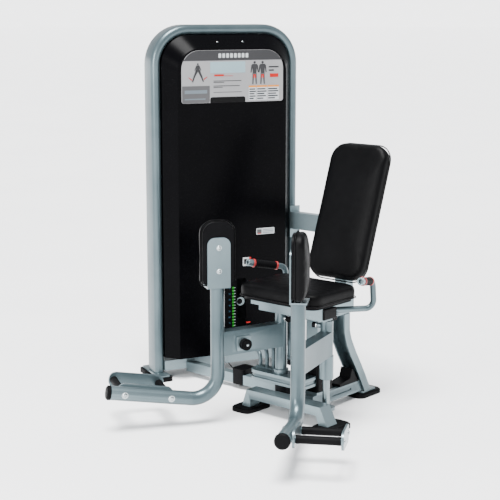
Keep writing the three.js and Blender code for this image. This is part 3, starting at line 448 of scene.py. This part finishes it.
def cushion(name, node, outline, depth, crown, place, body, back=0.0, cap=0.004, inset=0.003):
    """A crowned, upholstered pad that stands for a CAD pad."""
    xs = [p[0] for p in outline]
    ys = [p[1] for p in outline]
    cx = (min(xs) + max(xs)) / 2
    cy = (min(ys) + max(ys)) / 2
    half = min(max(xs) - cx, max(ys) - cy)
    scale = 1 - inset / half
    shape = resample([(cx + (x - cx) * scale, cy + (y - cy) * scale) for x, y in outline], 0.010)
    mesh = to_mesh(name, lambda bm: crowned(bm, shape, depth - inset, crown, back), place)
    piece = bpy.data.objects.new(name, mesh)
    SCENE.collection.objects.link(piece)
    piece.data.materials.append(FINISHES["vinyl"])
    inflate(piece, cap)
    for polygon in piece.data.polygons:
        polygon.use_smooth = True
    relax = piece.modifiers.new("relax", "SMOOTH")
    relax.iterations = 2
    soften = piece.modifiers.new("soften", "SUBSURF")
    soften.levels = 1
    soften.render_levels = 1
    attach(piece, body)
    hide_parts(node)
    return piece


def cord_round(name, outline, height, radius, place, body, material):
    """A closed cord along an outline: the piping of a seam."""
    def build(bm):
        points = [Vector((x, y, height)) for x, y in outline]
        count = len(points)
        sides = 8
        rings = []
        for i in range(count):
            way = (points[(i + 1) % count] - points[i - 1]).normalized()
            out = way.cross(Vector((0, 0, 1)))
            angles = [2 * math.pi * k / sides for k in range(sides)]
            rings.append([
                bm.verts.new(points[i] + out * radius * math.cos(a) + Vector((0, 0, radius * math.sin(a))))
                for a in angles
            ])
        for i in range(count):
            for k in range(sides):
                m = (k + 1) % sides
                j = (i + 1) % count
                bm.faces.new((rings[i][k], rings[j][k], rings[j][m], rings[i][m]))
    piece = new_object(name, to_mesh(name, build, place), body, material)
    for polygon in piece.data.polygons:
        polygon.use_smooth = True
    return piece


def scaled(outline, by):
    xs = [p[0] for p in outline]
    ys = [p[1] for p in outline]
    cx = (min(xs) + max(xs)) / 2
    cy = (min(ys) + max(ys)) / 2
    sx = 1 - by / ((max(xs) - min(xs)) / 2)
    sy = 1 - by / ((max(ys) - min(ys)) / 2)
    return [(cx + (x - cx) * sx, cy + (y - cy) * sy) for x, y in outline]


def slab_piece(name, outline, z0, z1, place, body, material, angle=32):
    mesh = to_mesh(name, lambda bm: extrude(bm, outline, z0, z1), place)
    piece = new_object(name, mesh, body, material)
    smooth(piece, angle)
    return piece


def make_seat():
    low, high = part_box("seat_cushion")
    outline = rounded(low.x, high.x, low.y, high.y, 0.048, 0.036, 7)
    place = Matrix.Translation((0, 0, low.z))
    depth = high.z - low.z
    cushion("seat_pad", "seat_cushion", outline, depth + 0.006, 0.009, place, "frame", back=0.009)
    board = scaled(outline, 0.016)
    slab_piece("seat_board", board, 0.001, 0.012, place, "frame", FINISHES["black_plastic"])
    seam = resample(scaled(outline, 0.0030), 0.008)
    cord_round("seat_piping", seam, depth * 0.24, 0.0026, place, "frame", FINISHES["vinyl"])


def make_back():
    low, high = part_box("back_cushion")
    half_width = (high.x - low.x) / 2
    thickness = 0.070
    half_length = (high.z - low.z - thickness * math.sin(BACK_RECLINE)) / math.cos(BACK_RECLINE) / 2
    up = Vector((0, math.sin(BACK_RECLINE), math.cos(BACK_RECLINE)))
    out = Vector((0, -math.cos(BACK_RECLINE), math.sin(BACK_RECLINE)))
    origin = (low + high) / 2 - out * thickness / 2
    place = basis(Vector((1, 0, 0)), up, out, origin)
    outline = rounded(-half_width, half_width, -half_length, half_length, 0.072, 0.072, 8)
    cushion("back_pad", "back_cushion", outline, thickness + 0.003, 0.013, place, "frame", back=0.008)
    slab_piece("back_board", scaled(outline, 0.012), 0.001, 0.010, place, "frame",
               FINISHES["black_plastic"])
    seam = resample(scaled(outline, 0.0030), 0.010)
    cord_round("back_piping", seam, thickness * 0.26, 0.0028, place, "frame", FINISHES["vinyl"])


def arm_frame(side):
    """Frame of one arm's pad: x out, y along the foot tube in plan, z up, at the upright."""
    pivot = LEFT_PIVOT if side > 0 else RIGHT_PIVOT
    upright = Vector((pivot.x, pivot.y, 0)) + Vector((
        side * LINK_LENGTH * math.sin(LINK_SPLAY), -LINK_LENGTH * math.cos(LINK_SPLAY), 0,
    ))
    out = Vector((side * math.cos(FOOT_SPLAY), math.sin(FOOT_SPLAY), 0))
    along = Vector((side * math.sin(FOOT_SPLAY), -math.cos(FOOT_SPLAY), 0))
    return upright, out, along


HANDS = (("left", 1), ("right", -1))


def make_thigh_pads():
    for hand, side in HANDS:
        upright, out, along = arm_frame(side)
        node = f"thigh_pad_{hand}"
        low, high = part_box(node)
        place = basis(along, Vector((0, 0, 1)), out, Vector((upright.x, upright.y, 0)) - out * PAD_BACK)
        outline = rounded(-0.075, 0.075, low.z, high.z, 0.018, 0.055, 7)
        body = f"arm_{hand}_body"
        depth = PAD_DEPTH + 0.004
        cushion(f"thigh_cushion_{hand}", node, outline, depth, 0.010, place, body, back=0.007, cap=0.003)
        slab_piece(f"thigh_board_{hand}", scaled(outline, 0.010), 0.0008, 0.009, place, body,
                   FINISHES["black_plastic"])
        seam = resample(scaled(outline, 0.0030), 0.008)
        cord_round(f"thigh_piping_{hand}", seam, 0.016, 0.0024, place, body, FINISHES["vinyl"])


make_seat()
make_back()
make_thigh_pads()


# ---------------------------------------------------------------- arm details
def make_arm_details():
    for hand, side in HANDS:
        body = f"arm_{hand}_body"
        upright, out, along = arm_frame(side)
        rise = Vector((along.x * math.cos(FOOT_RISE), along.y * math.cos(FOOT_RISE), math.sin(FOOT_RISE)))
        tube_end = Vector((upright.x, upright.y, FOOT_BEND_Z)) + rise * FOOT_LENGTH
        plate_back = PAD_BACK + PAD_PLATE
        for number, z in enumerate((0.640, 0.735)):
            origin = Vector((upright.x, upright.y, z)) - out * plate_back
            bolt(f"pad_bolt_{number}_{hand}", origin, -out, body, 0.0085, 0.006)
        for number, distance in enumerate((0.055, 0.248)):
            seat = tube_end - rise * distance
            bolt(f"rest_bolt_{number}_{hand}", seat - out * (TUBE_RADIUS - 0.0006), -out, body, 0.0105, 0.006)
            outer = seat + out * 0.2145
            bolt(f"rest_outer_bolt_{number}_{hand}", outer, out, body, 0.0075, 0.005)
            sleeve = [
                (0, 0.0), (0.0145, 0.0), (0.0165, 0.002), (0.0165, 0.012), (0.0158, 0.015), (0.0158, 0.149),
                (0.0165, 0.152), (0.0165, 0.162), (0.0145, 0.164), (0, 0.164),
            ]
            turned_piece(f"rest_sleeve_{number}_{hand}", sleeve, out, seat + out * 0.0405, body,
                         FINISHES["rubber"])
        inner = Vector(JOINTS[f"index_pin_{hand}_pull"]["axis"])
        pivot = LEFT_PIVOT if side > 0 else RIGHT_PIVOT
        ring = [(0, 0), (0.0128, 0), (0.0135, 0.001), (0.0135, 0.005), (0.0128, 0.006), (0, 0.006)]
        origin = Vector((pivot.x, pivot.y, 0.407)) + inner * 0.0405
        turned_piece(f"index_ring_{hand}", ring, inner, origin, f"pin_{hand}", BOLT)
        bumper = centre(f"bumper_{hand}")
        dot = [(0, 0), (0.005, 0), (0.0052, 0.0012), (0.004, 0.002), (0, 0.0022)]
        turned_piece(f"bumper_screw_{hand}", dot, inner, bumper + inner * 0.0131, body, BOLT)


make_arm_details()


# ---------------------------------------------------------------- handles
def make_handle_rings():
    for hand, _ in HANDS:
        grip = NODES[f"handle_grip_{hand}"]
        points = [vertex.co for vertex in grip.data.vertices]
        front = min(points, key=lambda p: p.y)
        rear = max(points, key=lambda p: p.y)
        low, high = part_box(f"handle_grip_{hand}")
        middle = (low + high) / 2
        fronts = [p for p in points if (p - front).length < 0.034]
        rears = [p for p in points if (p - rear).length < 0.034]
        start = sum(fronts, Vector()) / len(fronts)
        end = sum(rears, Vector()) / len(rears)
        way = (end - start).normalized()
        ring = [(0, 0), (0.0165, 0), (0.0185, 0.0015), (0.0185, 0.0075), (0.0165, 0.009), (0, 0.009)]
        length = (end - start).length
        for place, sign in (("front", -1), ("rear", 1)):
            origin = middle + way * sign * (length / 2 - 0.0045) - way * 0.0045
            turned_piece(f"grip_ring_{place}_{hand}", ring, way, origin, "frame", RED)
        for number in range(9):
            rib = [(0, 0), (0.0165, 0), (0.01725, 0.002), (0.01725, 0.004), (0.0165, 0.006), (0, 0.006)]
            origin = start + way * (0.014 + number * (length - 0.034) / 8)
            turned_piece(f"grip_rib_{number}_{hand}", rib, way, origin, "frame", FINISHES["rubber"])


make_handle_rings()


# ---------------------------------------------------------------- placard and stickers
def artwork(name, outline, colour, layer=1, face=None):
    """A thin printed area on the tower, in metres across and up its face."""
    base = TOWER_FACE + 0.0033 if face is None else face
    z = base + 0.00025 * layer
    slab_piece(name, outline, z, z + 0.0003, TOWER, "frame", INKS[colour])


def rectangle(x0, x1, y0, y1):
    return [(x0, y0), (x1, y0), (x1, y1), (x0, y1)]


def limb(x0, y0, x1, y1, thick0, thick1):
    """A straight limb between two points, thick0 and thick1 to each side at its ends."""
    way = Vector((x1 - x0, y1 - y0)).normalized()
    side = Vector((-way.y, way.x))
    a, b = Vector((x0, y0)), Vector((x1, y1))
    corners = (a - side * thick0, b - side * thick1, b + side * thick1, a + side * thick0)
    return [tuple(corner) for corner in corners]


def title_band(low, high):
    """The dark head of the placard, with plain bars where a name would be."""
    band = [(x, y) for x, y in rounded(-0.249, 0.249, 1.264, high - 0.001, 0.012, 0.084, 8) if y > low]
    artwork("placard_band", [(0.249, low)] + band + [(-0.249, low)], "charcoal")
    for number in range(8):
        x = -0.072 + number * 0.019
        artwork(f"placard_title_{number}", rounded(x, x + 0.013, low + 0.012, low + 0.031, 0.003), "white", 2)


def seated_figure(name, x, y):
    """A plain figure with its legs apart and swing marks."""
    artwork(f"{name}_head", arc(x, y + 0.036, 0.0042, 0, 330, 11), "charcoal", 2)
    artwork(f"{name}_back", limb(x, y + 0.031, x, y + 0.004, 0.0065, 0.0095), "charcoal", 2)
    for way in (-1, 1):
        artwork(f"{name}_arm_{way + 1}", limb(
            x + way * 0.006, y + 0.028, x + way * 0.015, y + 0.008, 0.0024, 0.0018), "charcoal", 2)
        artwork(f"{name}_thigh_{way + 1}", limb(
            x + way * 0.004, y + 0.008, x + way * 0.017, y - 0.018, 0.0062, 0.0038), "charcoal", 2)
        artwork(f"{name}_shin_{way + 1}", limb(
            x + way * 0.016, y - 0.015, x + way * 0.026, y - 0.042, 0.0042, 0.0024), "charcoal", 3)
    artwork(f"{name}_mark_a", limb(x - 0.045, y - 0.022, x - 0.028, y - 0.034, 0.0013, 0.0022), "red", 2)
    artwork(f"{name}_mark_b", limb(x + 0.045, y - 0.020, x + 0.028, y - 0.032, 0.0013, 0.0022), "red", 2)


def standing_figure(name, x, y):
    """A plain standing figure with its inner thighs in red."""
    artwork(f"{name}_head", arc(x, y + 0.047, 0.0062, 0, 330, 11), "charcoal", 2)
    artwork(f"{name}_chest", limb(x, y + 0.040, x, y - 0.002, 0.013, 0.009), "charcoal", 2)
    for way in (-1, 1):
        artwork(f"{name}_arm_{way + 1}", limb(
            x + way * 0.013, y + 0.036, x + way * 0.018, y + 0.002, 0.0035, 0.0025), "charcoal", 2)
        artwork(f"{name}_leg_{way + 1}", limb(
            x + way * 0.005, y, x + way * 0.009, y - 0.050, 0.0055, 0.0035), "grey", 2)
        artwork(f"{name}_thigh_{way + 1}", limb(
            x + way * 0.003, y - 0.006, x + way * 0.0045, y - 0.022, 0.0032, 0.0024), "red", 3)


def lines(name, x, y, widths, pitch, colour, thick=0.0016, layer=2):
    for number, width in enumerate(widths):
        z = y - number * pitch
        artwork(f"{name}_{number}", rectangle(x, x + width, z - thick, z + thick), colour, layer)


def make_placard():
    low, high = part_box("placard")
    bottom, top = low.z, high.z
    title_band(top - 0.046, top)
    notch = rounded(-0.113, 0.060, bottom - 0.001, bottom + 0.025, 0.001, 0.010)
    artwork("placard_notch", notch, "black")
    artwork("placard_box", rounded(-0.248, -0.115, bottom + 0.001, bottom + 0.076, 0.009, 0.002), "grey")
    lines("placard_box_line", -0.236, bottom + 0.050, (0.108,), 0.018, "slate", 0.0075)
    lines("placard_box_foot", -0.236, bottom + 0.018, (0.100,), 0.018, "slate", 0.0026)
    artwork("placard_window", rectangle(-0.112, 0.060, bottom + 0.131, bottom + 0.181), "sky")
    seated_figure("pictogram", -0.172, bottom + 0.136)
    artwork("placard_red", rectangle(-0.093, -0.046, bottom + 0.117, bottom + 0.125), "red", 2)
    lines("placard_red_line", -0.044, bottom + 0.118, (0.042,), 0.01, "red", 0.0009)
    lines("placard_text_a", -0.097, bottom + 0.096, (0.137, 0.052), 0.006, "text", 0.0012)
    lines("placard_text_b", -0.097, bottom + 0.074, (0.130, 0.045), 0.006, "text", 0.0012)
    lines("placard_text_c", -0.097, bottom + 0.046, (0.140,), 0.006, "text", 0.0009)
    standing_figure("figure_a", 0.106, bottom + 0.128)
    standing_figure("figure_b", 0.146, bottom + 0.128)
    lines("placard_note", 0.177, bottom + 0.154, (0.050, 0.026), 0.015, "text", 0.0028)
    artwork("placard_stamp", rectangle(0.183, 0.226, bottom + 0.108, bottom + 0.124), "red", 2)
    for number, (x0, x1) in enumerate(((0.077, 0.113), (0.116, 0.168), (0.171, 0.229))):
        artwork(f"warning_{number}", rectangle(x0, x1, bottom + 0.006, bottom + 0.064), "white", 2)
        artwork(f"warning_head_{number}", rectangle(x0, x1, bottom + 0.064, bottom + 0.072), "orange", 2)
        widths = [(x1 - x0) * share for share in (0.8, 0.9, 0.7, 0.85, 0.6)]
        lines(f"warning_text_{number}", x0 + 0.003, bottom + 0.056, widths, 0.0105, "text", 0.0026, 3)


def make_stickers():
    face = TOWER_FACE
    artwork("sticker", rounded(0.117, 0.210, 0.650, 0.679, 0.003), "white", 1, face)
    artwork("sticker_mark", rectangle(0.121, 0.144, 0.655, 0.674), "grey", 2, face)
    artwork("sticker_red", rectangle(0.124, 0.142, 0.653, 0.657), "red", 3, face)
    for number in range(3):
        z = 0.671 - number * 0.007
        artwork(f"sticker_line_{number}", rectangle(0.150, 0.204, z - 0.0014, z + 0.0014), "slate", 2, face)
    artwork("small_label", rounded(0.048, 0.088, 0.508, 0.548, 0.003), "white", 1, face)
    artwork("small_label_field", rectangle(0.054, 0.082, 0.516, 0.540), "black", 2, face)
    artwork("small_label_red", rectangle(0.080, 0.090, 0.532, 0.548), "red", 2, face)
    artwork("low_label", rectangle(0.066, 0.086, 0.236, 0.242), "red", 1, face)


DIGITS = {
    0: "abcdef", 1: "bc", 2: "abged", 3: "abgcd", 4: "fgbc", 5: "afgcd", 6: "afgedc", 7: "abc", 8: "abcdefg",
    9: "abcdfg",
}
STROKES = {"a": (0, 2, 1, 2), "b": (1, 1, 1, 2), "c": (1, 0, 1, 1), "d": (0, 0, 1, 0), "e": (0, 0, 0, 1),
           "f": (0, 1, 0, 2), "g": (0, 1, 1, 1)}


def digit(name, value, x, y, size, colour, face):
    """A seven-stroke digit whose lower left corner is at x, y."""
    for stroke in DIGITS[value]:
        x0, y0, x1, y1 = (part * size for part in STROKES[stroke])
        bar = size * 0.16
        outline = rectangle(x + x0 - bar, x + x1 + bar, y + y0 - bar, y + y1 + bar)
        artwork(f"{name}_{stroke}", outline, colour, 1, face)


def make_weight_marks():
    """A scale beside the slot: green blocks and ticks at half plates, a number at each plate."""
    low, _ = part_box("resting_plates")
    slot = TOWER.inverted() @ centre("selector_pin")
    edge = slot.x - SLOT_WIDTH / 2
    for row in range(21):
        z = low.z + row * PLATE_PITCH / 2
        block = rectangle(edge - 0.018, edge - 0.008, z - 0.0045, z + 0.0045)
        artwork(f"scale_block_{row}", block, "green", 1, TOWER_FACE)
        long = 0.008 if row % 2 else 0.005
        tick = rectangle(edge - 0.002 - long, edge - 0.002, z - 0.0016, z + 0.0016)
        artwork(f"scale_tick_{row}", tick, "silver", 2, TOWER_FACE)
        if row % 2:
            continue
        number = (11 - row // 2) * 10
        for place, value in enumerate(str(number)):
            x = edge - 0.036 + place * 0.0055 - (0.0055 if number > 99 else 0)
            digit(f"scale_{row}_{place}", int(value), x, z - 0.003, 0.0032, "blue", TOWER_FACE)


make_placard()
make_stickers()
make_weight_marks()


# ---------------------------------------------------------------- small hardware
def make_hardware():
    knob = Vector(JOINTS["selector_pin_pull"]["axis"])
    front = centre("selector_pin")
    ends = [v.co.dot(knob) for v in NODES["selector_pin"].data.vertices]
    tip = front + knob * (max(ends) - front.dot(knob))
    plug = [(0, 0), (0.0135, 0), (0.0135, 0.0006), (0.012, 0.0016), (0, 0.0022)]
    turned_piece("selector_knob_centre", plug, knob, tip, "selector",
                 FINISHES["black_plastic"])
    for number, across in enumerate((-0.062, 0.062)):
        origin = TOWER @ Vector((across, 1.528, 0.0905))
        normal = (TOWER.to_3x3() @ Vector((0, 0.64, 0.77))).normalized()
        bolt(f"shroud_screw_{number}", origin, normal, "frame", 0.005, 0.003)
    trestle_low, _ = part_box("trestle")
    fitting = [
        (0, 0), (0.011, 0), (0.011, 0.012), (0.008, 0.013), (0.008, 0.030), (0.006, 0.032), (0, 0.032),
    ]
    origin = Vector((SEAT.x + 0.05, trestle_low.y + 0.075, 0.050))
    turned_piece("rail_fitting", fitting, Vector((0, 1, 0)), origin, "frame", BOLT)


make_hardware()


# ---------------------------------------------------------------- floor and light
def make_stage():
    """A wide pale floor whose far edge turns up, so no horizon shows."""
    made = Nodes("floor")
    slow = made.noise(1.2, 3.0)
    made.put(made.shader.inputs["Base Color"], made.mix(
        made.ramp(slow, 0.0, 1.0), rgb(0.90, 0.90, 0.905), rgb(0.92, 0.92, 0.922)))
    made.put(made.shader.inputs["Roughness"], made.ramp(slow, 0.6, 0.7))
    made.shader.inputs["Specular IOR Level"].default_value = 0.1
    profile = [(0, -0.0002), (40, -0.0002), (60, 0.8), (70, 6.0)]
    floor = bpy.data.objects.new("floor", to_mesh("floor", lambda bm: turned(bm, profile, 96)))
    SCENE.collection.objects.link(floor)
    floor.data.materials.append(made.material)


def add_light(name, kind, energy, location, target, size=1.0, angle=0.0):
    data = bpy.data.lights.new(name, kind)
    data.energy = energy
    if kind == "AREA":
        data.shape = "RECTANGLE"
        data.size = size
        data.size_y = size * 1.3
    else:
        data.angle = math.radians(angle)
    light = bpy.data.objects.new(name, data)
    light.location = location
    light.rotation_euler = (Vector(target) - Vector(location)).to_track_quat("-Z", "Y").to_euler()
    SCENE.collection.objects.link(light)


def make_lights():
    world = bpy.data.worlds.new("studio")
    world.use_nodes = True
    world.node_tree.nodes["Background"].inputs["Color"].default_value = rgb(0.95, 0.97, 1.0)
    world.node_tree.nodes["Background"].inputs["Strength"].default_value = 1.0
    SCENE.world = world
    add_light("overhead", "SUN", 10.0, (0.5, -1.3, 5), (0, 0, 0), angle=30)
    add_light("key", "AREA", 260, (0.2, -5.2, 2.4), (0, 0, 0.7), 1.6)


make_stage()
make_lights()
